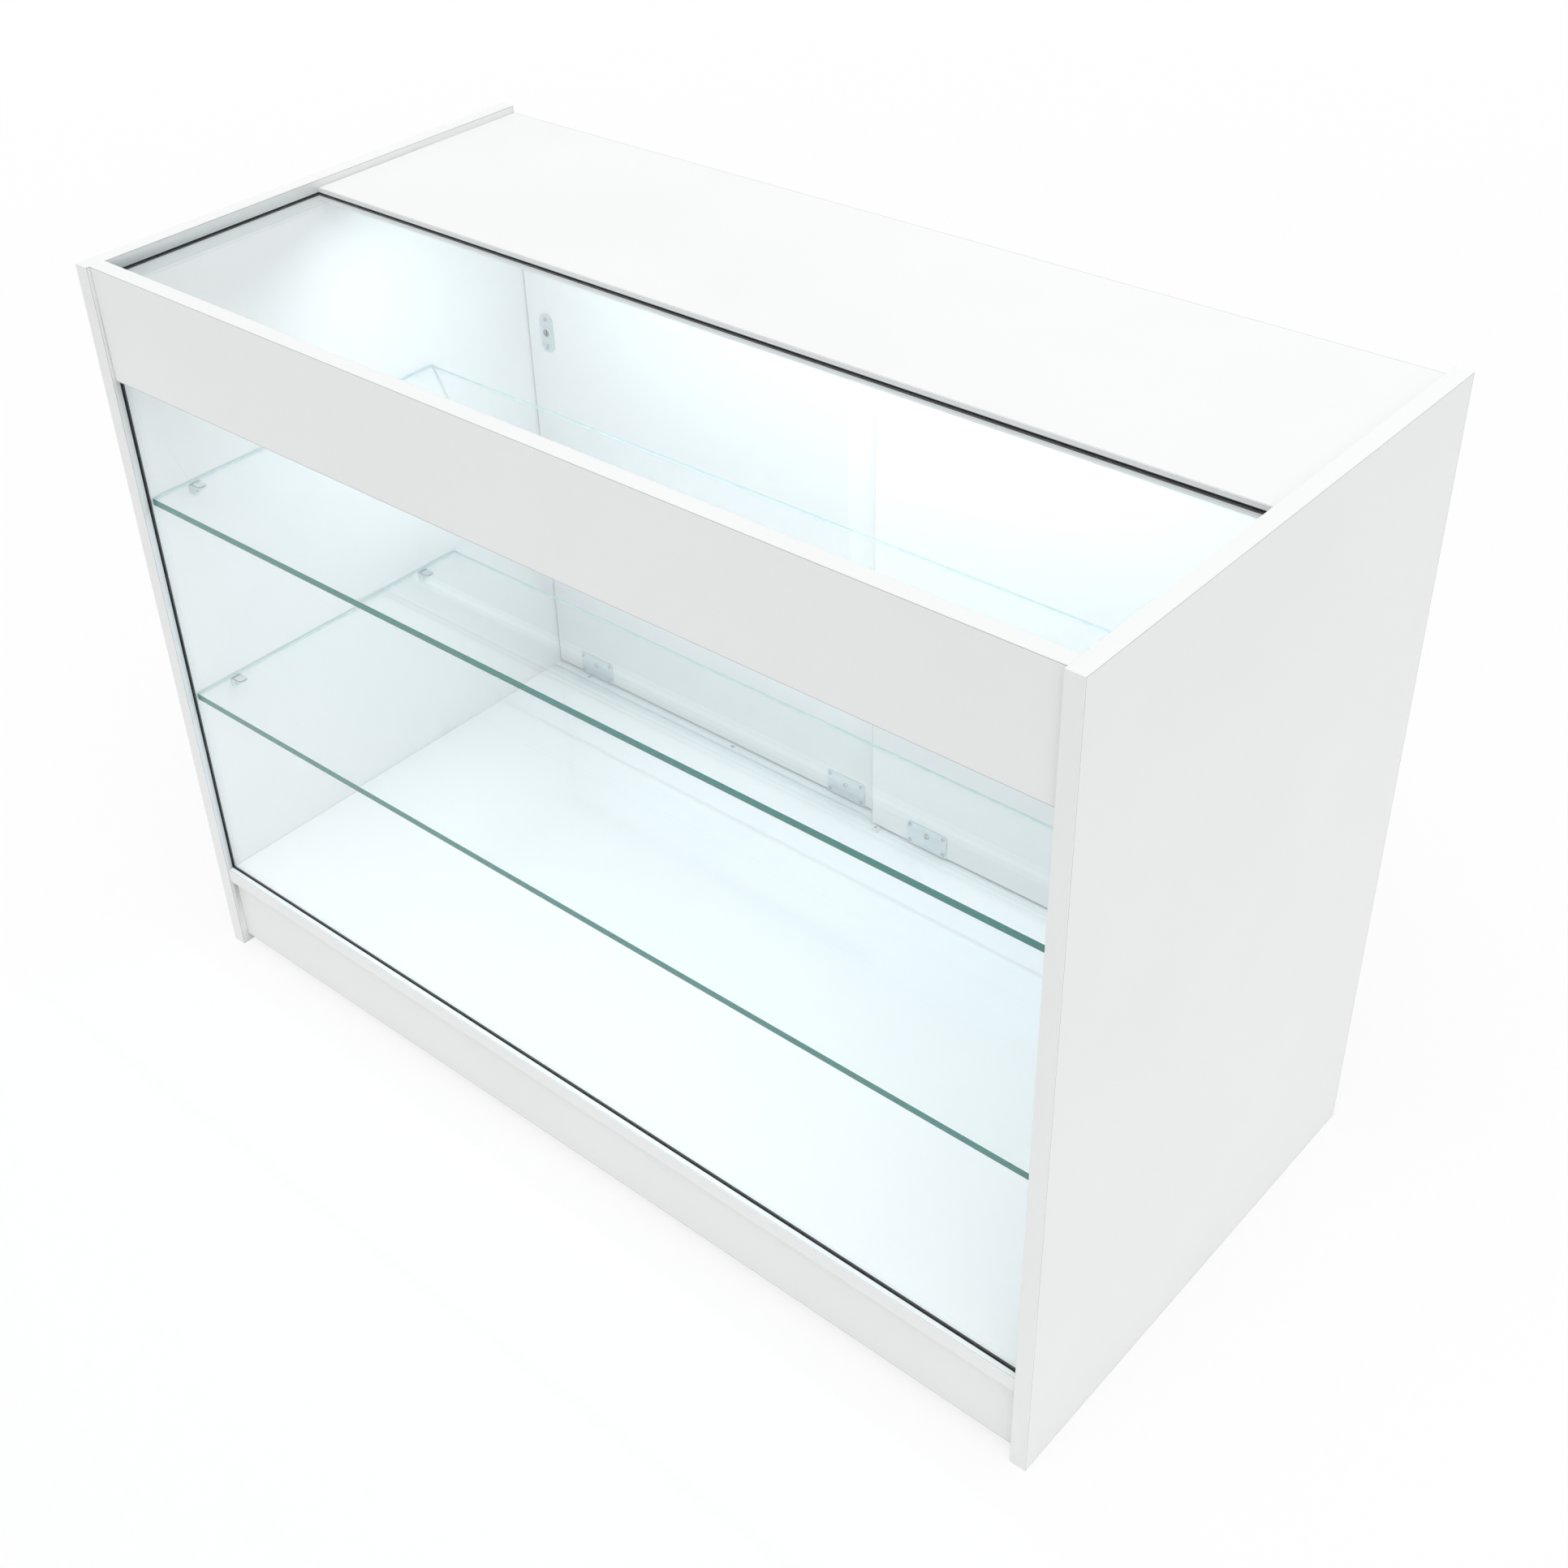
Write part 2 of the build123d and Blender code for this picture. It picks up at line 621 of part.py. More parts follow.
def guide_block_y():
    """The block's rear face clears the roller plates on the right door."""
    rear = RIGHT_DOOR_INNER - ROLLER_PLATE - HEAD_HEIGHT_RATIO * ROLLER_SCREW[0] - BLOCK_CLEARANCE
    return (rear - BLOCK_THICKNESS, rear)


def guide_block_screw_place():
    y = sum(guide_block_y()) / 2
    return (BLOCK_X, y, BASE_TOP + BLOCK_HEIGHT / 2)


def guide_block():
    body = block(around(BLOCK_X, BLOCK_LENGTH), guide_block_y(), (BASE_TOP, BASE_TOP + BLOCK_HEIGHT))
    body = fillet(body.edges().filter_by(Axis.Z), BLOCK_THICKNESS / 5)
    place = guide_block_screw_place()
    head = bar(place, UP, HEAD_RATIO * BLOCK_SCREW[0] + 2 * FIT, BLOCK_HEIGHT)
    return body - head - screw_hole(place, DOWN, BLOCK_SCREW)


def tracks():
    screws = [screw(p, DOWN, TRACK_SCREW) for p in lower_track_screw_places()]
    screws += [screw(p, UP, TRACK_SCREW) for p in upper_track_screw_places()]
    screws += [screw(guide_block_screw_place(), DOWN, BLOCK_SCREW)]
    return {
        "lower_track": lower_track(),
        "upper_track": upper_track(),
        "door_guide_block": guide_block(),
        "track_screws": group(screws),
    }


# Rollers: each is built at the left door's place, from the x of its middle and
# the y of the door's inner face.

def wheel_place(x, inner):
    return (x, inner + DOOR / 2, WHEEL_CENTRE)


def roller_body_y(inner):
    """From the door's inner face to the cheek behind the wheel."""
    return (inner, inner + DOOR / 2 + WHEEL_WIDTH / 2 + RUNNING_CLEARANCE + ROLLER_CHEEK)


def wheel_slot(x, inner):
    room = WHEEL_DIAMETER / 2 + WHEEL_ROOM
    y = around(inner + DOOR / 2, WHEEL_WIDTH + 2 * RUNNING_CLEARANCE)
    return block((x - room, x + room), y, (0, WHEEL_CENTRE + room))


def axle(x, inner):
    front, back = roller_body_y(inner)
    return bar((x, front, WHEEL_CENTRE), BACKWARD, AXLE_DIAMETER, back - front)


def wheel(x, inner):
    centre = wheel_place(x, inner)
    start = (x, centre[1] - WHEEL_WIDTH / 2, WHEEL_CENTRE)
    tyre = bar(start, BACKWARD, WHEEL_DIAMETER, WHEEL_WIDTH)
    tyre = chamfer(tyre.edges().filter_by(GeomType.CIRCLE), WHEEL_WIDTH / 10)
    return tyre - bar(start, BACKWARD, AXLE_DIAMETER + 2 * RUNNING_CLEARANCE, WHEEL_WIDTH)


def roller_screw_places(x, inner):
    """The four corners of a roller plate."""
    dx = ROLLER_PLATE_WIDTH / 2 - ROLLER_SCREW_INSET
    heights = (ROLLER_SCREW_INSET, ROLLER_PLATE_HEIGHT - ROLLER_SCREW_INSET)
    y = inner - ROLLER_PLATE
    return [(x + side * dx, y, DOOR_BOTTOM + z) for side in (-1, 1) for z in heights]


def adjuster_place(x, inner):
    return (x, inner - ROLLER_PLATE, DOOR_BOTTOM + ROLLER_ADJUSTER_HEIGHT)


def roller_housing(x, inner):
    """A face plate with the block behind it that carries the wheel."""
    plate = block(
        around(x, ROLLER_PLATE_WIDTH),
        (inner - ROLLER_PLATE, inner),
        (DOOR_BOTTOM, DOOR_BOTTOM + ROLLER_PLATE_HEIGHT),
    )
    plate = fillet(plate.edges().filter_by(Axis.Y), ROLLER_SCREW_INSET / 2)
    body = block(
        around(x, ROLLER_BODY_WIDTH), roller_body_y(inner), (DOOR_BOTTOM, DOOR_BOTTOM + ROLLER_BODY_HEIGHT)
    )
    front, back = roller_body_y(inner)
    bore = bar((x, front, WHEEL_CENTRE), BACKWARD, AXLE_DIAMETER + 2 * RUNNING_CLEARANCE, back - front)
    holes = [screw_hole(p, BACKWARD, ROLLER_SCREW) for p in roller_screw_places(x, inner)]
    holes += [screw_hole(adjuster_place(x, inner), BACKWARD, ADJUSTER_SCREW)]
    return plate + body - wheel_slot(x, inner) - bore - holes


def roller_pocket(x, inner):
    front, back = roller_body_y(inner)
    return block(
        around(x, ROLLER_BODY_WIDTH + 2 * FIT),
        (front, back + FIT),
        (DOOR_BOTTOM, DOOR_BOTTOM + ROLLER_BODY_HEIGHT + FIT),
    )


# Top guides

def guide_places():
    """The x of the guides near the two ends of a door's upper edge."""
    return (DOOR_CLOSING_EDGE + GUIDE_INSET, DOOR_CLOSING_EDGE + DOOR_LENGTH - GUIDE_INSET)


def top_guide(x, inner):
    z = (DOOR_TOP - GUIDE_DEPTH, WORKTOP_UNDERSIDE - UPPER_TRACK_METAL - GUIDE_TOP_GAP)
    body = block(around(x, GUIDE_LENGTH), around(inner + DOOR / 2, GUIDE_THICKNESS), z)
    top = body.edges().group_by(Axis.Z)[-1]
    return chamfer(top, GUIDE_THICKNESS / 6)


def guide_pocket(x, inner):
    z = (DOOR_TOP - GUIDE_DEPTH, DOOR_TOP)
    y = around(inner + DOOR / 2, GUIDE_THICKNESS + 2 * FIT)
    return block(around(x, GUIDE_LENGTH + 2 * FIT), y, z)


# Hook lock

def lock_case_y(inner):
    return around(inner + DOOR / 2, LOCK_CASE_THICKNESS)


def lock_case_block(inner, clearance=0.0):
    x = (DOOR_CLOSING_EDGE, LOCK_X + LOCK_CASE_TAIL + clearance)
    y = around(inner + DOOR / 2, LOCK_CASE_THICKNESS + 2 * clearance)
    return block(x, y, around(LOCK_HEIGHT, LOCK_CASE_HEIGHT + 2 * clearance))


def hook_swing_z():
    """From below the hook's eye to above the circle that its beak sweeps."""
    return (HOOK_PIVOT_Z - HOOK_WIDTH / 2 - HOOK_ROOM, HOOK_PIVOT_Z + HOOK_RADIUS + HOOK_ROOM)


def hook_pin(inner):
    front, back = lock_case_y(inner)
    return bar((HOOK_PIVOT_X, front, HOOK_PIVOT_Z), BACKWARD, HOOK_PIVOT_DIAMETER, back - front)


def lock_case(inner):
    """A thin box in the door's edge, open where the hook swings out, with the hook's pin across it."""
    front, back = lock_case_y(inner)
    cavity_y = (front + LOCK_CASE_WALL, back - LOCK_CASE_WALL)
    cavity = block(
        (DOOR_CLOSING_EDGE, LOCK_X + LOCK_CASE_TAIL - LOCK_CASE_WALL), cavity_y, hook_swing_z()
    )
    barrel_hole = bar(
        (LOCK_X, front, LOCK_HEIGHT), BACKWARD, BARREL_DIAMETER + 2 * RUNNING_CLEARANCE, back - front
    )
    holes = [screw_hole(p, BACKWARD, LOCK_SCREW) for p in lock_screw_places(inner)]
    return lock_case_block(inner) - cavity + hook_pin(inner) - barrel_hole - holes


def hook_bolt(inner):
    """A flat hook, standing up when the lock is open, with its beak turned away from the edge."""
    y = around(inner + DOOR / 2, HOOK_THICKNESS)
    start = (HOOK_PIVOT_X, y[0], HOOK_PIVOT_Z)
    eye = bar(start, BACKWARD, HOOK_WIDTH, HOOK_THICKNESS)
    arm = block(around(HOOK_PIVOT_X, HOOK_WIDTH), y, (HOOK_PIVOT_Z, HOOK_PIVOT_Z + HOOK_REACH))
    beak = block(
        (HOOK_PIVOT_X, HOOK_PIVOT_X + HOOK_WIDTH / 2 + HOOK_BEAK_LENGTH),
        y,
        (HOOK_PIVOT_Z + HOOK_REACH - HOOK_BEAK, HOOK_PIVOT_Z + HOOK_REACH),
    )
    body = eye + arm + beak
    return body - bar(start, BACKWARD, HOOK_PIVOT_DIAMETER + 2 * RUNNING_CLEARANCE, HOOK_THICKNESS)


def lock_screw_places(inner):
    y = inner - LOCK_PLATE
    return [(LOCK_X, y, LOCK_HEIGHT + side * LOCK_SCREW_SPACING / 2) for side in (-1, 1)]


def lock_plate(inner):
    """The oval plate on the door's inner face, with a round boss about the barrel."""
    straight = LOCK_PLATE_HEIGHT - LOCK_PLATE_WIDTH
    face = inner - LOCK_PLATE
    oval = block(around(LOCK_X, LOCK_PLATE_WIDTH), (face, inner), around(LOCK_HEIGHT, straight))
    for side in (-1, 1):
        centre = (LOCK_X, face, LOCK_HEIGHT + side * straight / 2)
        oval = oval + bar(centre, BACKWARD, LOCK_PLATE_WIDTH, LOCK_PLATE)
    boss = bar((LOCK_X, face - LOCK_BOSS, LOCK_HEIGHT), BACKWARD, LOCK_BOSS_DIAMETER, LOCK_BOSS)
    boss = chamfer(boss.edges().filter_by(GeomType.CIRCLE).group_by(Axis.Y)[0], LOCK_BOSS / 2)
    bore = barrel_bore(face - LOCK_BOSS, inner)
    holes = [screw_hole(p, BACKWARD, LOCK_SCREW) for p in lock_screw_places(inner)]
    return oval + boss - bore - holes


def barrel_bore(front, back):
    place = (LOCK_X, front, LOCK_HEIGHT)
    return bar(place, BACKWARD, BARREL_DIAMETER + 2 * RUNNING_CLEARANCE, back - front)


def lock_barrel(inner):
    """The turning plug, with a keyway in its outer end, a driver slot in its inner end and a cam."""
    front = inner - LOCK_PLATE - LOCK_BOSS + BARREL_SINK
    back = inner + DOOR
    plug = bar((LOCK_X, front, LOCK_HEIGHT), BACKWARD, BARREL_DIAMETER, back - front)
    cam_front = inner + (DOOR - BARREL_CAM) / 2
    plug += bar((LOCK_X, cam_front, LOCK_HEIGHT), BACKWARD, BARREL_CAM_DIAMETER, BARREL_CAM)
    x = around(LOCK_X, KEYWAY_WIDTH)
    z = around(LOCK_HEIGHT, KEYWAY_LENGTH)
    keyway = block(x, (back - KEYWAY_DEPTH, back), z)
    slot = block(x, (front, front + KEYWAY_DEPTH), z)
    return plug - keyway - slot


def escutcheon(inner):
    back = inner + DOOR
    ring = bar((LOCK_X, back - ESCUTCHEON, LOCK_HEIGHT), BACKWARD, ESCUTCHEON_DIAMETER, ESCUTCHEON)
    return ring - barrel_bore(back - ESCUTCHEON, back)


def lock_cuts(inner):
    """What the door loses for its lock."""
    back = inner + DOOR
    recess = bar(
        (LOCK_X, back - ESCUTCHEON, LOCK_HEIGHT), BACKWARD, ESCUTCHEON_DIAMETER + 2 * FIT, ESCUTCHEON
    )
    holes = [screw_hole(p, BACKWARD, LOCK_SCREW) for p in lock_screw_places(inner)]
    return [lock_case_block(inner, FIT), barrel_bore(inner, back), recess] + holes


# Strike plates in the side panels, built on the left one

def strike_screw_places(inner):
    y = inner + DOOR / 2
    return [(-INNER, y, LOCK_HEIGHT + side * STRIKE_SCREW_SPACING / 2) for side in (-1, 1)]


def strike_slot(inner, width, depth):
    return block((-INNER - depth, -INNER), around(inner + DOOR / 2, width), hook_swing_z())


def strike_head_recesses(inner, clearance=FIT):
    """Wells for the screw heads, so that they end flush with the panel."""
    height = HEAD_HEIGHT_RATIO * STRIKE_SCREW[0]
    head = HEAD_RATIO * STRIKE_SCREW[0] + 2 * clearance
    return [bar(p, LEFT, head, height) for p in strike_screw_places(inner)]


def strike_screw_start(place):
    """Under the head of a strike screw whose head ends flush."""
    return (place[0] - HEAD_HEIGHT_RATIO * STRIKE_SCREW[0], place[1], place[2])


def strike_plate(inner):
    plate = block(
        (-INNER - STRIKE, -INNER), around(inner + DOOR / 2, STRIKE_WIDTH), around(LOCK_HEIGHT, STRIKE_HEIGHT)
    )
    holes = [screw_hole(strike_screw_start(p), LEFT, STRIKE_SCREW) for p in strike_screw_places(inner)]
    return plate - strike_slot(inner, STRIKE_SLOT, STRIKE) - strike_head_recesses(inner) - holes


def strike_cuts(inner):
    recess = block(
        (-INNER - STRIKE, -INNER), around(inner + DOOR / 2, STRIKE_WIDTH), around(LOCK_HEIGHT, STRIKE_HEIGHT)
    )
    cuts = [recess, strike_slot(inner, STRIKE_SLOT + HOOK_ROOM, STRIKE_POCKET)]
    return cuts + [screw_hole(strike_screw_start(p), LEFT, STRIKE_SCREW) for p in strike_screw_places(inner)]


def strikes():
    left_screws = [
        screw(strike_screw_start(p), LEFT, STRIKE_SCREW) for p in strike_screw_places(LEFT_DOOR_INNER)
    ]
    right_screws = [
        mirrored(screw(strike_screw_start(p), LEFT, STRIKE_SCREW))
        for p in strike_screw_places(RIGHT_DOOR_INNER)
    ]
    plates = [strike_plate(LEFT_DOOR_INNER), mirrored(strike_plate(RIGHT_DOOR_INNER))]
    return {
        "lock_strike_plates": group(plates),
        "lock_strike_screws": group(left_screws + right_screws),
    }


# Finger pull

def pull_place(inner):
    return (DOOR_CLOSING_EDGE + PULL_BACKSET, inner + DOOR, PULL_HEIGHT)


def pull_recess(inner, clearance=FIT):
    """The bore for the cup, and the wider well for its rim."""
    place = pull_place(inner)
    cup = bar(place, FORWARD, PULL_DIAMETER - 2 * PULL_RIM + 2 * clearance, PULL_DEPTH + clearance)
    return cup + bar(place, FORWARD, PULL_DIAMETER + 2 * clearance, PULL_WALL)


def finger_pull(inner):
    hollow = PULL_DIAMETER - 2 * PULL_RIM - 2 * PULL_WALL
    cup = pull_recess(inner, 0.0)
    return cup - bar(pull_place(inner), FORWARD, hollow, PULL_DEPTH - PULL_WALL)


# Doors

def door_panel(inner, roller_xs):
    x = (DOOR_CLOSING_EDGE, DOOR_CLOSING_EDGE + DOOR_LENGTH)
    panel = block(x, (inner, inner + DOOR), (DOOR_BOTTOM, DOOR_TOP))
    cuts = [roller_pocket(rx, inner) for rx in roller_xs]
    for rx in roller_xs:
        cuts += [screw_hole(p, BACKWARD, ROLLER_SCREW) for p in roller_screw_places(rx, inner)]
    cuts += [guide_pocket(gx, inner) for gx in guide_places()]
    cuts += lock_cuts(inner)
    cuts += [pull_recess(inner)]
    return panel - cuts


def door(name, inner, from_meeting_edge):
    """All of one door's pieces, at the left door's place in X."""
    meeting_edge = DOOR_CLOSING_EDGE + DOOR_LENGTH
    roller_xs = (DOOR_CLOSING_EDGE + ROLLER_FROM_CLOSING_EDGE, meeting_edge - from_meeting_edge)
    screws = [screw(p, BACKWARD, ROLLER_SCREW) for x in roller_xs for p in roller_screw_places(x, inner)]
    screws += [screw(adjuster_place(x, inner), BACKWARD, ADJUSTER_SCREW) for x in roller_xs]
    lock_screws = [screw(p, BACKWARD, LOCK_SCREW) for p in lock_screw_places(inner)]
    return {
        f"{name}_panel": door_panel(inner, roller_xs),
        f"{name}_roller_housings": group([roller_housing(x, inner) for x in roller_xs]),
        f"{name}_roller_axles": group([axle(x, inner) for x in roller_xs]),
        f"{name}_roller_screws": group(screws),
        f"{name}_closing_wheel": wheel(roller_xs[0], inner),
        f"{name}_meeting_wheel": wheel(roller_xs[1], inner),
        f"{name}_top_guides": group([top_guide(x, inner) for x in guide_places()]),
        f"{name}_lock_case": lock_case(inner),
        f"{name}_lock_plate": lock_plate(inner),
        f"{name}_lock_screws": group(lock_screws),
        f"{name}_lock_barrel": lock_barrel(inner),
        f"{name}_lock_escutcheon": escutcheon(inner),
        f"{name}_hook_bolt": hook_bolt(inner),
        f"{name}_finger_pull": finger_pull(inner),
    }


def doors():
    left = door("left_door", LEFT_DOOR_INNER, LEFT_ROLLER_FROM_MEETING_EDGE)
    right = door("right_door", RIGHT_DOOR_INNER, RIGHT_ROLLER_FROM_MEETING_EDGE)
    return {**left, **{name: mirrored(shape) for name, shape in right.items()}}


# Light bar

def clip_screw_places():
    xs = spread(LIGHT_CLIPS, LIGHT_END - LIGHT_CLIP_MARGIN)
    return [(x, LIGHT_CENTRE, LIGHT_TOP) for x in xs]


def light_clip(x):
    """A spring clip: a web on the worktop and two arms that hold the channel's sides."""
    outer = LIGHT_WIDTH + 2 * LIGHT_CLIP
    web = block(around(x, LIGHT_CLIP_LENGTH), around(LIGHT_CENTRE, outer), (LIGHT_TOP, WORKTOP_UNDERSIDE))
    arms = []
    for side in (-1, 1):
        y = LIGHT_CENTRE + side * (LIGHT_WIDTH + LIGHT_CLIP) / 2
        z = (LIGHT_UNDERSIDE + LIGHT_HEIGHT / 3, WORKTOP_UNDERSIDE)
        arms.append(block(around(x, LIGHT_CLIP_LENGTH), around(y, LIGHT_CLIP), z))
    return web + arms


def light_channel():
    x = (-LIGHT_END, LIGHT_END)
    body = block(x, around(LIGHT_CENTRE, LIGHT_WIDTH), (LIGHT_UNDERSIDE, LIGHT_TOP))
    inside = block(
        x, around(LIGHT_CENTRE, LIGHT_WIDTH - 2 * LIGHT_METAL), (LIGHT_UNDERSIDE, LIGHT_TOP - LIGHT_METAL)
    )
    head = HEAD_RATIO * CLIP_SCREW[0] + 2 * FIT
    heads = [bar(p, DOWN, head, LIGHT_METAL) for p in clip_screw_places()]
    return body - inside - heads


def light():
    x = (-LIGHT_END, LIGHT_END)
    inside = LIGHT_WIDTH - 2 * LIGHT_METAL
    strip_top = LIGHT_TOP - max(LIGHT_METAL, HEAD_HEIGHT_RATIO * CLIP_SCREW[0]) - LIGHT_STRIP_ADHESIVE
    strip_z = (strip_top - LIGHT_STRIP, strip_top)
    diffuser_z = (LIGHT_UNDERSIDE, LIGHT_UNDERSIDE + DIFFUSER)
    caps = []
    for side in (-1, 1):
        cap_x = sorted((side * LIGHT_END, side * (LIGHT_END + LIGHT_END_CAP)))
        caps.append(block(cap_x, around(LIGHT_CENTRE, LIGHT_WIDTH), (LIGHT_UNDERSIDE, LIGHT_TOP)))
    gland_place = (LIGHT_END, LIGHT_CENTRE, (LIGHT_UNDERSIDE + LIGHT_TOP) / 2)
    gland = bar(gland_place, RIGHT, GLAND_DIAMETER, LIGHT_END_CAP + GLAND_LENGTH)
    caps[1] -= gland
    gland -= bar(gland_place, RIGHT, GLAND_BORE, LIGHT_END_CAP + GLAND_LENGTH)
    return {
        "light_channel": light_channel(),
        "light_strip": block(x, around(LIGHT_CENTRE, LIGHT_STRIP_WIDTH), strip_z),
        "light_diffuser": block(x, around(LIGHT_CENTRE, inside), diffuser_z),
        "light_end_caps": group(caps),
        "light_cable_gland": gland,
        "light_clips": group([
            light_clip(p[0]) - screw_hole(p, UP, CLIP_SCREW) for p in clip_screw_places()
        ]),
        "light_clip_screws": group([screw(p, UP, CLIP_SCREW) for p in clip_screw_places()]),
    }


def all_pieces():
    return {
        **boards(),
        **glazing(),
        **shelves(),
        **tracks(),
        **strikes(),
        **doors(),
        **light(),
        **knock_down_fittings(),
    }


os.makedirs("parts", exist_ok=True)
for piece_name, piece in all_pieces().items():
    export_step(piece, f"parts/{piece_name}.step")
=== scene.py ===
"""Looks of the shop counter: materials, softened board edges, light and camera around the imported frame."""

import json
import math

import bmesh
import bpy
from mathutils import Matrix, Vector

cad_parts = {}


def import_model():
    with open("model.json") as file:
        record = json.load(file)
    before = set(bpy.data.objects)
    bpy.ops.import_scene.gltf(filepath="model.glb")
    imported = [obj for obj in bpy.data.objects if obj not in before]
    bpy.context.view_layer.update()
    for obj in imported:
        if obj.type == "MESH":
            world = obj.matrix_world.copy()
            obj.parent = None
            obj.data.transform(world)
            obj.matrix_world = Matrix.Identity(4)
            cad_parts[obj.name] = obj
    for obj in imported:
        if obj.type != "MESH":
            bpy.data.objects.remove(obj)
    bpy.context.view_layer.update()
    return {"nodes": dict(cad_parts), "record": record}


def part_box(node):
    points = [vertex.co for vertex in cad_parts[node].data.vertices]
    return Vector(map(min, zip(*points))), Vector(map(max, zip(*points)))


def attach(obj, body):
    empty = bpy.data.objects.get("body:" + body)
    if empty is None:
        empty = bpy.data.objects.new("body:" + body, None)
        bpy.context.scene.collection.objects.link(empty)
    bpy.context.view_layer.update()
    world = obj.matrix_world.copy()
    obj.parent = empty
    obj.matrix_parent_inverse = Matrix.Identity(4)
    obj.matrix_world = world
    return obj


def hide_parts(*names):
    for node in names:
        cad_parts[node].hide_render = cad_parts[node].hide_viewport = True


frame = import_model()

NODES = frame["nodes"]
SLOT_OF = {p["node"]: p["material_slot"] for p in frame["record"]["subparts"]}
BODY_OF = {name: body for body, names in frame["record"]["behaviour"]["bodies"].items() for name in names}

# Lengths are metres, angles are degrees unless a name says otherwise, and colours are linear

# Camera, fitted to the board edges in the photograph; the crop is off the image's centre
CAMERA_PLACE = Vector((1.207395, -1.303339, 1.681537))
CAMERA_TARGET = Vector((-0.001376, -0.018448, 0.400))
CAMERA_ROLL_RADIANS = -0.0492
PHOTO_SIDE = 1932
FOCAL_PIXELS = 2528.14
IMAGE_CENTRE = (891.506, 928.764)
SENSOR_MILLIMETRES = 36.0
CAMERA_REACH = (0.05, 60.0)

# Pieces that stand in for a CAD node, and the rounding of their edges
BOARDS = [name for name, slot in SLOT_OF.items() if slot == "melamine_board"]
PANES = ("front_glass", "top_glass", "lower_shelf", "upper_shelf")
BOARD_EDGE_RADIUS = 0.0004
BOARD_EDGE_SEGMENTS = 3
GLASS_ARRIS = 0.0003
GLASS_ARRIS_SEGMENTS = 1
WELD_DISTANCE = 1e-6
FLAT_ANGLE = 0.5
SHARP_ANGLE = 25
ON_BOX_EDGE = 1e-5
SQUARE_TO = 0.9
TOWARDS_FRONT = 0.5

# Noise stays mostly between these two values
NOISE_LOW, NOISE_HIGH = 0.3, 0.7

# Melamine board: its two tones, and the seam where the edge band meets the broad face
BOARD_DARK = (0.800, 0.806, 0.806)
BOARD_LIGHT = (0.832, 0.838, 0.836)
BAND = 0.0008
SEAM_HALF_WIDTH = 0.0002
SEAM_COLOUR = (0.30, 0.31, 0.32)
SEAM_STRENGTH = 0.95
SPECKLE_FINENESS, SPECKLE_SHARE = 2600, 0.6
CLOUD_FINENESS = 5.5
ORANGE_PEEL_FINENESS, GLOSS_FINENESS = 1400, 900
BOARD_ROUGHNESS = (0.36, 0.46)
BOARD_SPECULAR = 0.42
FINE_DEPTH = 0.00002

# Glass: what it takes from light that falls through it, and the green of a long way inside it
GLASS_INDEX = 1.46
GLASS_PASSES = (0.997, 0.999, 1.0)
GLASS_INSIDE = (0.45, 0.88, 0.88)
GLASS_DENSITY = 3.0
GLASS_FILM_FINENESS = 9.0
GLASS_ROUGHNESS = (0.0, 0.008)
# Shelf edge colours are painted light seen end on through the glass: deep green on the edges facing front,
# paler on the others
SHELF_FRONT_PAINTED_GREEN = (0.005, 0.20, 0.175)
SHELF_REST_PAINTED_GREEN = (0.60, 0.75, 0.76)
EDGE_FINENESS = 150
EDGE_SHADE = 0.82
EDGE_ROUGHNESS = (0.10, 0.22)
EDGE_SPECULAR = 0.15

# Clear pads under the shelves
PAD_COLOUR = (0.93, 0.96, 0.96)
PAD_INDEX = 1.45
PAD_CLEARNESS = 0.7
PAD_FINENESS = 800
PAD_ROUGHNESS = (0.12, 0.25)

# Metal and plastic: how far the gloss wanders either side, and the darker tone as a share of the lighter
METAL_GLOSS_SPREAD = 0.08
METAL_SHADE = 0.85
PLAIN_GLOSS_SPREAD = 0.06
PLAIN_SHADE = 0.9
PLAIN_DEPTH = 0.00003

# Light bar: the look of its lit pieces, and the lamp that throws its light into the case
LIT_BASE = (0.85, 0.87, 0.88)
LIT_ROUGHNESS = 0.5
LIT_COLOUR = (0.90, 0.97, 1.0)
LIT_FINENESS = 60
RIPPLE = (0.93, 1.07)
BAR_WIDTH = 0.012
BAR_SHORTER = 0.14
BAR_DROP = 0.002
BAR_POWER = 2.35
BAR_COLOUR = (0.81, 0.94, 1.0)
BAR_TILT = 16.0

# Studio: light from all round, and four wide suns, each with its strength and where it shines
WORLD_LIGHT = 0.64
SUN_WIDTH = 60
SUNS = {
    "key": (1.38, (-0.15, 0.25, -1.0)),
    "side": (0.44, (-1.0, 0.35, -0.35)),
    "front": (0.04, (0.25, 1.0, -0.4)),
    "rear": (0.25, (0.1, -1.0, -0.45)),
}

# Floor: a disc that fades into the white background
FLOOR_RADIUS = 6.0
FLOOR_CORNERS = 96
FLOOR_DROP = 0.0005
FLOOR_FADE = (1.6, 5.5)
FLOOR_GREY = (0.84, 0.84, 0.84)
FLOOR_WHITE_SHARE = 0.78

WHITE = (1.0, 1.0, 1.0, 1.0)


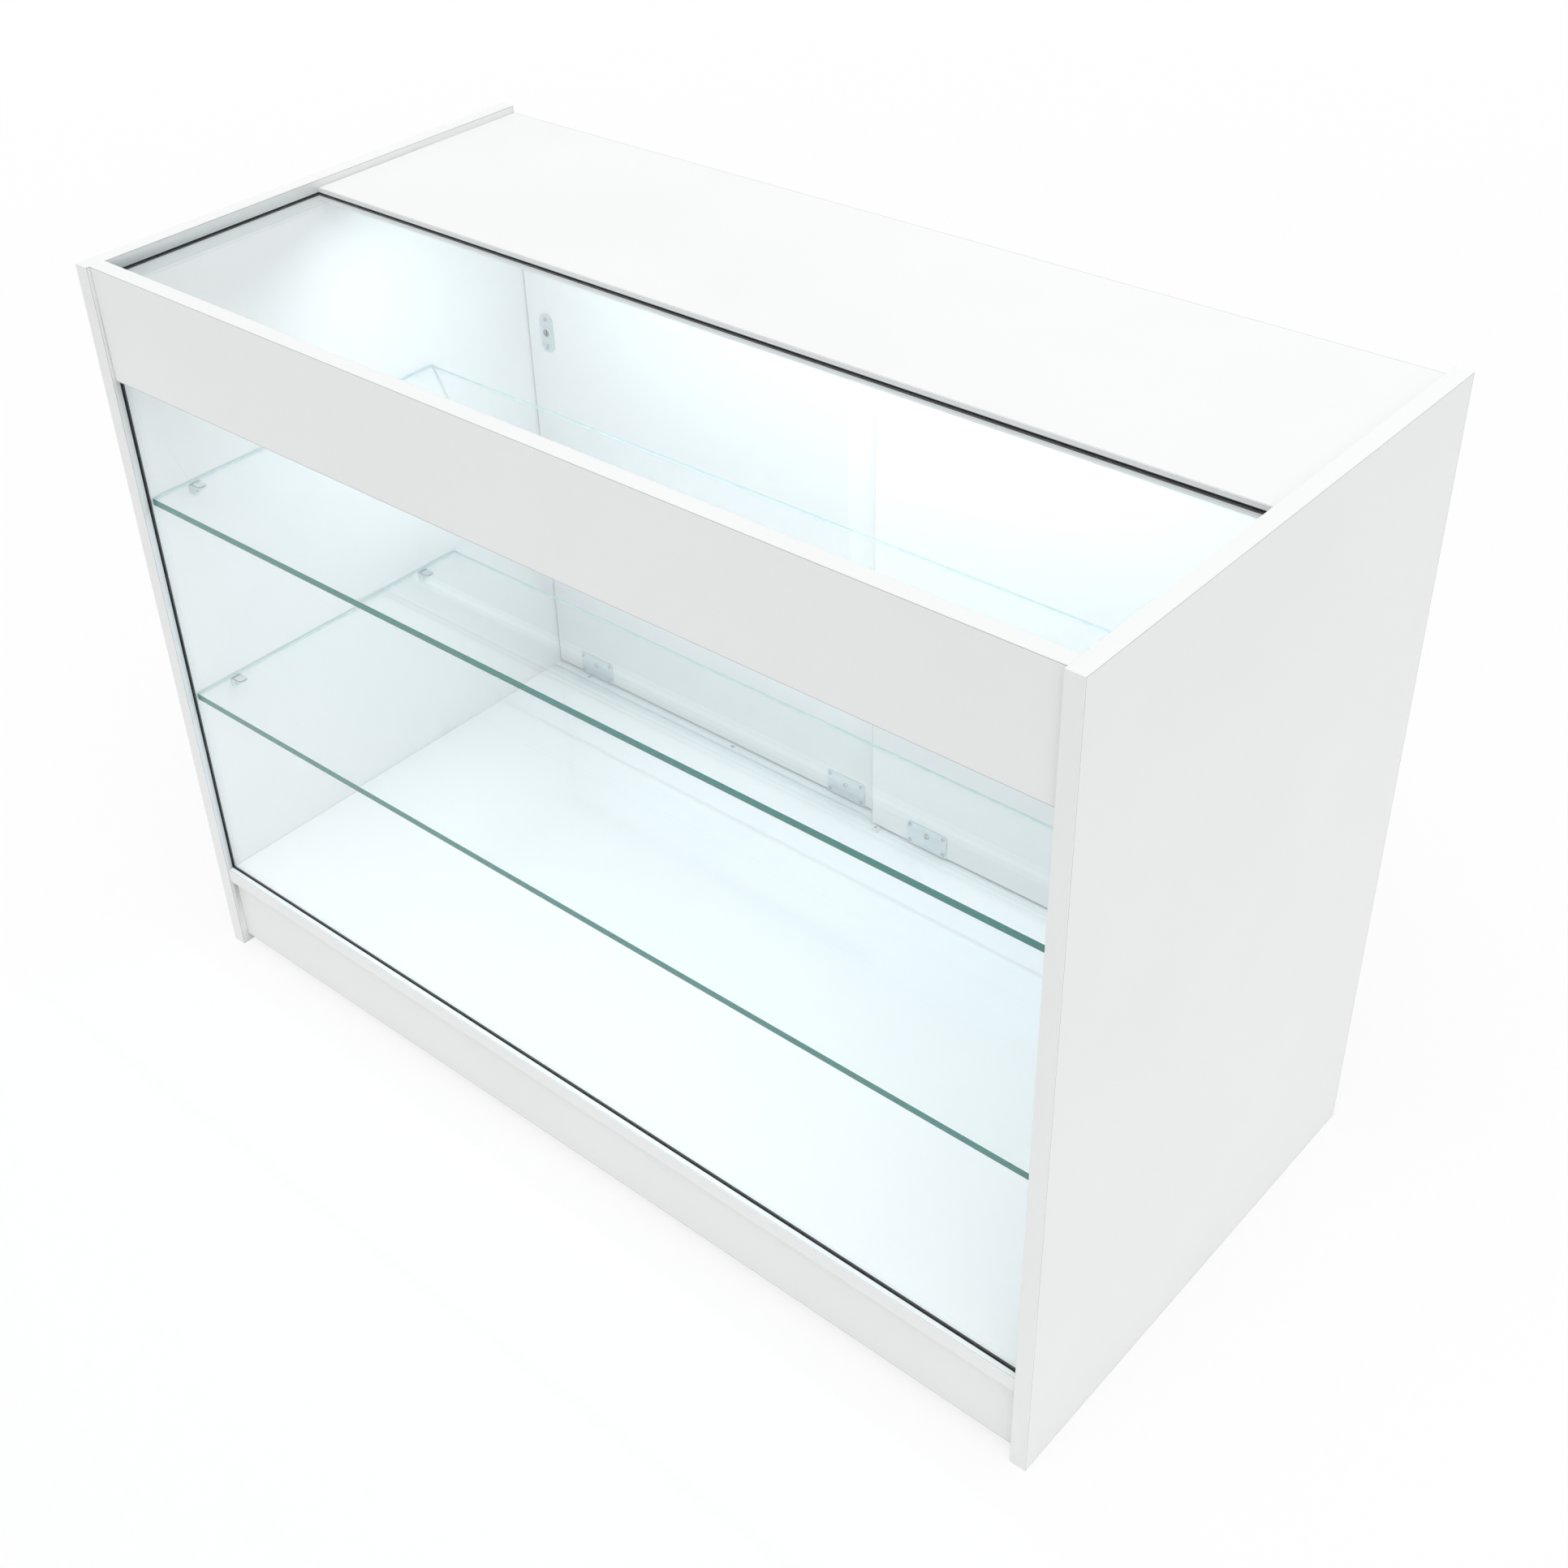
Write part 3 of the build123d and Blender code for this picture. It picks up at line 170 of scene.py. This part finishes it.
class Material:
    """A node material under construction, with short calls for its nodes."""

    def __init__(self, name):
        self.material = bpy.data.materials.new(name)
        self.material.use_nodes = True
        self.tree = self.material.node_tree
        self.tree.nodes.clear()
        self.output = self.tree.nodes.new("ShaderNodeOutputMaterial")
        self.coordinates = None

    def node(self, kind, inputs=None, **settings):
        new = self.tree.nodes.new(kind)
        for key, value in settings.items():
            setattr(new, key, value)
        for key, value in (inputs or {}).items():
            self.feed(new.inputs[key], value)
        return new

    def feed(self, socket, value):
        if isinstance(value, bpy.types.NodeSocket):
            self.tree.links.new(value, socket)
        else:
            socket.default_value = value

    def place(self):
        """Object coordinates, which are the frame's own metres."""
        if self.coordinates is None:
            self.coordinates = self.node("ShaderNodeTexCoord")
        return self.coordinates.outputs["Object"]

    def calculate(self, operation, *values):
        new = self.node("ShaderNodeMath", operation=operation)
        for socket, value in zip(new.inputs, values):
            self.feed(socket, value)
        return new.outputs[0]

    def noise(self, fineness, detail=3.0, roughness=0.5, stretch=None):
        place = self.place()
        if stretch:
            place = self.node("ShaderNodeMapping", {"Vector": place, "Scale": stretch}).outputs[0]
        inputs = {"Vector": place, "Scale": fineness, "Detail": detail, "Roughness": roughness}
        return self.node("ShaderNodeTexNoise", inputs).outputs["Fac"]

    def between(self, noise, low, high):
        """A number that runs from low to high over the range in which the noise mostly lies."""
        span = {"From Min": NOISE_LOW, "From Max": NOISE_HIGH, "To Min": low, "To Max": high}
        return self.node("ShaderNodeMapRange", {"Value": noise, **span}).outputs[0]

    def colours(self, factor, first, second):
        """A mix of two colours, each one given as three numbers or as a socket."""
        new = self.node("ShaderNodeMix", data_type="RGBA")
        self.feed(new.inputs[0], factor)
        for socket, colour in zip(new.inputs[6:8], (first, second)):
            self.feed(socket, colour if isinstance(colour, bpy.types.NodeSocket) else (*colour, 1.0))
        return new.outputs[2]

    def tones(self, noise, colour, shade):
        """A colour that wanders with the noise from a darker tone of itself."""
        dark = tuple(shade * part for part in colour)
        return self.colours(self.between(noise, 0.0, 1.0), dark, colour)

    def bump(self, height, distance):
        inputs = {"Height": height, "Distance": distance, "Strength": 1.0}
        return self.node("ShaderNodeBump", inputs).outputs[0]

    def surface(self, **inputs):
        named = {key.replace("_", " "): value for key, value in inputs.items()}
        shader = self.node("ShaderNodeBsdfPrincipled", named)
        self.show(shader)
        return shader

    def show(self, shader):
        self.tree.links.new(shader.outputs[0], self.output.inputs["Surface"])


def off_band_line(make, axis, low, high):
    """How far a point lies along an axis from the lines that are a band's thickness inside the box."""
    separate = make.node("ShaderNodeSeparateXYZ", {"Vector": make.place()})
    middle, half = (low[axis] + high[axis]) / 2, (high[axis] - low[axis]) / 2
    off = make.calculate("ABSOLUTE", make.calculate("SUBTRACT", separate.outputs[axis], middle))
    return make.calculate("ABSOLUTE", make.calculate("SUBTRACT", off, half - BAND))


def melamine(name, box):
    """White board with a fine speckle, faint orange peel, and its edge band's seam on the broad faces."""
    low, high = box
    thin = min(range(3), key=lambda axis: high[axis] - low[axis])
    make = Material("melamine_" + name)
    seams = [
        make.calculate("LESS_THAN", off_band_line(make, axis, low, high), SEAM_HALF_WIDTH)
        for axis in range(3)
        if axis != thin
    ]
    normal = make.node("ShaderNodeNewGeometry").outputs["True Normal"]
    facing = make.node("ShaderNodeSeparateXYZ", {"Vector": normal})
    broad = make.calculate("GREATER_THAN", make.calculate("ABSOLUTE", facing.outputs[thin]), SQUARE_TO)
    seam = make.calculate("MULTIPLY", make.calculate("MAXIMUM", *seams), broad)
    speckle = make.between(make.noise(SPECKLE_FINENESS, 1.0), 0.0, 1.0)
    cloud = make.between(make.noise(CLOUD_FINENESS, 2.0), 0.0, 1.0)
    cloud_part = make.calculate("MULTIPLY", cloud, 1 - SPECKLE_SHARE)
    tone = make.calculate("MULTIPLY_ADD", speckle, SPECKLE_SHARE, cloud_part)
    board = make.colours(tone, BOARD_DARK, BOARD_LIGHT)
    make.surface(
        Base_Color=make.colours(make.calculate("MULTIPLY", seam, SEAM_STRENGTH), board, SEAM_COLOUR),
        Roughness=make.between(make.noise(GLOSS_FINENESS, 2.0), *BOARD_ROUGHNESS),
        Normal=make.bump(make.noise(ORANGE_PEEL_FINENESS, 2.0), FINE_DEPTH),
        Specular_IOR_Level=BOARD_SPECULAR,
    )
    return make.material


def glass(name):
    """Clear float glass that bends what is seen through it and lets light fall straight through."""
    make = Material(name)
    film = make.noise(GLASS_FILM_FINENESS, 4.0, 0.6)
    last = make.surface(
        Base_Color=WHITE,
        Roughness=make.between(film, *GLASS_ROUGHNESS),
        IOR=GLASS_INDEX,
        Transmission_Weight=1.0,
    )
    path = make.node("ShaderNodeLightPath")
    clear = make.node("ShaderNodeBsdfTransparent", {"Color": (*GLASS_PASSES, 1.0)})
    for ray in ("Is Shadow Ray", "Is Diffuse Ray"):
        choice = {0: path.outputs[ray], 1: last.outputs[0], 2: clear.outputs[0]}
        last = make.node("ShaderNodeMixShader", choice)
    make.show(last)
    absorption = {"Color": (*GLASS_INSIDE, 1.0), "Density": GLASS_DENSITY}
    inside = make.node("ShaderNodeVolumeAbsorption", absorption)
    make.tree.links.new(inside.outputs[0], make.output.inputs["Volume"])
    return make.material


def painted_shelf_edge(name, colour):
    """The ground and polished edge of a shelf, with a painted green that stands in for light seen end on
    through the glass.
    """
    make = Material(name)
    uneven = make.noise(EDGE_FINENESS, 2.0)
    make.surface(
        Base_Color=make.tones(uneven, colour, EDGE_SHADE),
        Roughness=make.between(uneven, *EDGE_ROUGHNESS),
        Specular_IOR_Level=EDGE_SPECULAR,
    )
    return make.material


def metal(name, colour, roughness, fineness, stretch=None):
    """Metal with a drawn or plated surface: its tone and gloss wander along the scratches."""
    make = Material(name)
    streak = make.noise(fineness, 4.0, 0.6, stretch)
    make.surface(
        Base_Color=make.tones(streak, colour, METAL_SHADE),
        Metallic=1.0,
        Roughness=make.between(streak, roughness - METAL_GLOSS_SPREAD, roughness + METAL_GLOSS_SPREAD),
        Normal=make.bump(streak, FINE_DEPTH),
    )
    return make.material


def plain(name, colour, roughness, fineness, depth=PLAIN_DEPTH, shade=PLAIN_SHADE, **more):
    """Plastic, rubber, wood or coated metal with a fine uneven surface."""
    make = Material(name)
    uneven = make.noise(fineness)
    make.surface(
        Base_Color=make.tones(uneven, colour, shade),
        Roughness=make.between(uneven, roughness - PLAIN_GLOSS_SPREAD, roughness + PLAIN_GLOSS_SPREAD),
        Normal=make.bump(uneven, depth),
        **more,
    )
    return make.material


def glowing(name, strength):
    """A lit surface whose brightness ripples a little along it, as over single diodes."""
    make = Material(name)
    ripple = make.between(make.noise(LIT_FINENESS, 1.0), *RIPPLE)
    make.surface(
        Base_Color=(*LIT_BASE, 1.0),
        Roughness=LIT_ROUGHNESS,
        Emission_Color=(*LIT_COLOUR, 1.0),
        Emission_Strength=make.calculate("MULTIPLY", ripple, strength),
    )
    return make.material


def clear_pad(name):
    make = Material(name)
    make.surface(
        Base_Color=(*PAD_COLOUR, 1.0),
        Roughness=make.between(make.noise(PAD_FINENESS, 2.0), *PAD_ROUGHNESS),
        IOR=PAD_INDEX,
        Transmission_Weight=PAD_CLEARNESS,
    )
    return make.material


# One material for each slot of the frame, apart from the boards, which have one each
SHARED = {
    "clear_glass": glass("clear_glass"),
    "black_rubber": plain("black_rubber", (0.018, 0.019, 0.021), roughness=0.55, fineness=700),
    "clear_pad": clear_pad("clear_pad"),
    "zinc_steel": metal("zinc_steel", (0.80, 0.87, 0.89), roughness=0.40, fineness=60, stretch=(1, 1, 9)),
    "screw_steel": metal("screw_steel", (0.66, 0.68, 0.69), roughness=0.30, fineness=400),
    "lock_brass": metal("lock_brass", (0.42, 0.43, 0.42), roughness=0.32, fineness=250),
    "track_aluminium": plain(
        "track_aluminium",
        (0.78, 0.81, 0.82),
        roughness=0.40,
        fineness=300,
        depth=0.00001,
        shade=0.95,
        Metallic=0.15,
    ),
    "white_plastic": plain("white_plastic", (0.80, 0.81, 0.81), roughness=0.42, fineness=350),
    "gland_rubber": plain("gland_rubber", (0.03, 0.03, 0.032), roughness=0.6, fineness=500),
    "light_board": glowing("light_board", strength=1.0),
    "light_diffuser": glowing("light_diffuser", strength=0.5),
    "beech": plain("beech", (0.55, 0.38, 0.22), roughness=0.6, fineness=120, depth=0.0001, shade=0.7),
}
# Painted light of the shelf edges: a darker green copy for the front edges, a paler one for the rest
SHELF_FRONT_PAINTED = painted_shelf_edge("shelf_front_painted_edge", SHELF_FRONT_PAINTED_GREEN)
SHELF_REST_PAINTED = painted_shelf_edge("shelf_rest_painted_edge", SHELF_REST_PAINTED_GREEN)


def on_box_edge(edge, low, high):
    """True if an edge lies on one of the twelve edges of the piece's own box."""
    sides = 0
    for axis in range(3):
        a, b = (vertex.co[axis] for vertex in edge.verts)
        if any(max(abs(a - side), abs(b - side)) < ON_BOX_EDGE for side in (low[axis], high[axis])):
            sides += 1
    return sides >= 2


def softened_mesh(node, radius, segments):
    """A CAD node's mesh with the edges on its box rounded, and smooth across the rounding."""
    low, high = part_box(node)
    shape = bmesh.new()
    shape.from_mesh(NODES[node].data)
    bmesh.ops.remove_doubles(shape, verts=shape.verts, dist=WELD_DISTANCE)
    bmesh.ops.dissolve_limit(
        shape,
        angle_limit=math.radians(FLAT_ANGLE),
        verts=shape.verts,
        edges=shape.edges,
        use_dissolve_boundaries=False,
    )
    bmesh.ops.bevel(
        shape,
        geom=[edge for edge in shape.edges if on_box_edge(edge, low, high)],
        offset=radius,
        segments=segments,
        profile=0.5,
        affect="EDGES",
        clamp_overlap=False,
    )
    bmesh.ops.triangulate(shape, faces=[face for face in shape.faces if len(face.verts) > 4])
    mesh = bpy.data.meshes.new(node + "_soft")
    shape.to_mesh(mesh)
    shape.free()
    for polygon in mesh.polygons:
        polygon.use_smooth = True
    mesh.set_sharp_from_angle(angle=math.radians(SHARP_ANGLE))
    return mesh


def softened(node, radius, segments, material):
    """A copy of a CAD node with its outer edges rounded, standing in for it on the same body."""
    mesh = softened_mesh(node, radius, segments)
    mesh.materials.append(material)
    piece = bpy.data.objects.new(node + "_soft", mesh)
    bpy.context.scene.collection.objects.link(piece)
    weighted = piece.modifiers.new("weighted", "WEIGHTED_NORMAL")
    weighted.keep_sharp = True
    weighted.weight = 100
    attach(piece, BODY_OF[node])
    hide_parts(node)
    return piece


def paint_edges_seen_through(shelf):
    """A shelf's edges in painted light seen end on through the glass: deep green on the edges facing front,
    paler elsewhere.
    """
    for colour in (SHELF_FRONT_PAINTED, SHELF_REST_PAINTED):
        shelf.data.materials.append(colour)
    front_index, rest_index = 1, 2
    for polygon in shelf.data.polygons:
        if abs(polygon.normal.z) < SQUARE_TO:
            polygon.material_index = front_index if polygon.normal.y < -TOWARDS_FRONT else rest_index


def dress():
    """Stand-ins for the boards and panes, and a material on every CAD node."""
    for board in BOARDS:
        softened(board, BOARD_EDGE_RADIUS, BOARD_EDGE_SEGMENTS, melamine(board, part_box(board)))
    for pane in PANES:
        piece = softened(pane, GLASS_ARRIS, GLASS_ARRIS_SEGMENTS, SHARED["clear_glass"])
        if pane.endswith("shelf"):
            paint_edges_seen_through(piece)
    for name, node in NODES.items():
        for place in node.material_slots:
            place.link = "OBJECT"
            place.material = SHARED.get(SLOT_OF[name], SHARED["white_plastic"])


def camera():
    """The photograph's camera: place, aim, roll, lens and the off-centre crop as a shift."""
    forward = (CAMERA_TARGET - CAMERA_PLACE).normalized()
    right = forward.cross(Vector((0, 0, 1))).normalized()
    up = right.cross(forward)
    c, s = math.cos(CAMERA_ROLL_RADIANS), math.sin(CAMERA_ROLL_RADIANS)
    right, up = c * right + s * up, c * up - s * right
    data = bpy.data.cameras.new("camera")
    data.sensor_width = SENSOR_MILLIMETRES
    data.lens = FOCAL_PIXELS / PHOTO_SIDE * SENSOR_MILLIMETRES
    data.shift_x = (PHOTO_SIDE / 2 - IMAGE_CENTRE[0]) / PHOTO_SIDE
    data.shift_y = (IMAGE_CENTRE[1] - PHOTO_SIDE / 2) / PHOTO_SIDE
    data.clip_start, data.clip_end = CAMERA_REACH
    thing = bpy.data.objects.new("camera", data)
    turn = Matrix((right, up, -forward)).transposed().to_4x4()
    thing.matrix_world = Matrix.Translation(CAMERA_PLACE) @ turn
    bpy.context.scene.collection.objects.link(thing)
    bpy.context.scene.camera = thing


def shown_ray(nodes, links):
    """1 for rays that show the background itself: straight, mirrored or through glass."""
    path = nodes.new("ShaderNodeLightPath")
    total = path.outputs["Is Camera Ray"]
    for ray in ("Is Glossy Ray", "Is Transmission Ray"):
        most = nodes.new("ShaderNodeMath")
        most.operation = "MAXIMUM"
        links.new(total, most.inputs[0])
        links.new(path.outputs[ray], most.inputs[1])
        total = most.outputs[0]
    return total


def world():
    """Even light from all round, behind which the background shows as plain white."""
    new = bpy.data.worlds.new("studio")
    new.use_nodes = True
    nodes, links = new.node_tree.nodes, new.node_tree.links
    nodes.clear()
    mix = nodes.new("ShaderNodeMixShader")
    links.new(shown_ray(nodes, links), mix.inputs[0])
    for socket, strength in zip(mix.inputs[1:3], (WORLD_LIGHT, 1.0)):
        background = nodes.new("ShaderNodeBackground")
        background.inputs["Color"].default_value = WHITE
        background.inputs["Strength"].default_value = strength
        links.new(background.outputs[0], socket)
    links.new(mix.outputs[0], nodes.new("ShaderNodeOutputWorld").inputs[0])
    bpy.context.scene.world = new


def floor_material():
    """White that keeps a soft shadow near the object and clears towards the disc's rim."""
    make = Material("floor")
    diffuse = make.node("ShaderNodeBsdfDiffuse", {"Color": (*FLOOR_GREY, 1.0)})
    white = make.node("ShaderNodeEmission", {"Color": WHITE, "Strength": 1.0})
    share = make.calculate("MULTIPLY", shown_ray(make.tree.nodes, make.tree.links), FLOOR_WHITE_SHARE)
    lit = make.node("ShaderNodeMixShader", {0: share, 1: diffuse.outputs[0], 2: white.outputs[0]})
    clear = make.node("ShaderNodeBsdfTransparent")
    distance = make.node("ShaderNodeVectorMath", {0: make.place()}, operation="LENGTH").outputs["Value"]
    near, far = FLOOR_FADE
    span = {"Value": distance, "From Min": near, "From Max": far, "To Min": 0.0, "To Max": 1.0}
    fade = make.node("ShaderNodeMapRange", span, interpolation_type="SMOOTHSTEP").outputs[0]
    make.show(make.node("ShaderNodeMixShader", {0: fade, 1: lit.outputs[0], 2: clear.outputs[0]}))
    return make.material


def floor():
    """A round white floor, a hair under the object's feet."""
    mesh = bpy.data.meshes.new("floor")
    turns = [math.radians(step * 360 / FLOOR_CORNERS) for step in range(FLOOR_CORNERS)]
    rim = [(FLOOR_RADIUS * math.cos(turn), FLOOR_RADIUS * math.sin(turn), 0.0) for turn in turns]
    mesh.from_pydata(rim, [], [range(FLOOR_CORNERS)])
    mesh.materials.append(floor_material())
    thing = bpy.data.objects.new("floor", mesh)
    bpy.context.scene.collection.objects.link(thing)
    thing.location.z = -FLOOR_DROP


def sun(name, strength, towards):
    """A wide, soft lamp that shines along the direction towards."""
    data = bpy.data.lights.new(name, "SUN")
    data.energy = strength
    data.angle = math.radians(SUN_WIDTH)
    thing = bpy.data.objects.new(name, data)
    thing.rotation_mode = "QUATERNION"
    thing.rotation_quaternion = Vector(towards).to_track_quat("-Z", "Y")
    bpy.context.scene.collection.objects.link(thing)


def bar_light():
    """The light that the bar under the worktop throws down and back into the case."""
    low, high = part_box("light_diffuser")
    data = bpy.data.lights.new("bar", "AREA")
    data.shape = "RECTANGLE"
    data.size = high.x - low.x - BAR_SHORTER
    data.size_y = BAR_WIDTH
    data.energy = BAR_POWER
    data.color = BAR_COLOUR
    thing = bpy.data.objects.new("bar", data)
    thing.location = ((low.x + high.x) / 2, (low.y + high.y) / 2, low.z - BAR_DROP)
    thing.rotation_euler.x = math.radians(BAR_TILT)
    thing.visible_camera = False
    thing.visible_glossy = False
    thing.visible_transmission = False
    bpy.context.scene.collection.objects.link(thing)


dress()
camera()
world()
floor()
for sun_name, (sun_strength, sun_towards) in SUNS.items():
    sun(sun_name, sun_strength, sun_towards)
bar_light()
bpy.context.scene.view_settings.view_transform = "Standard"
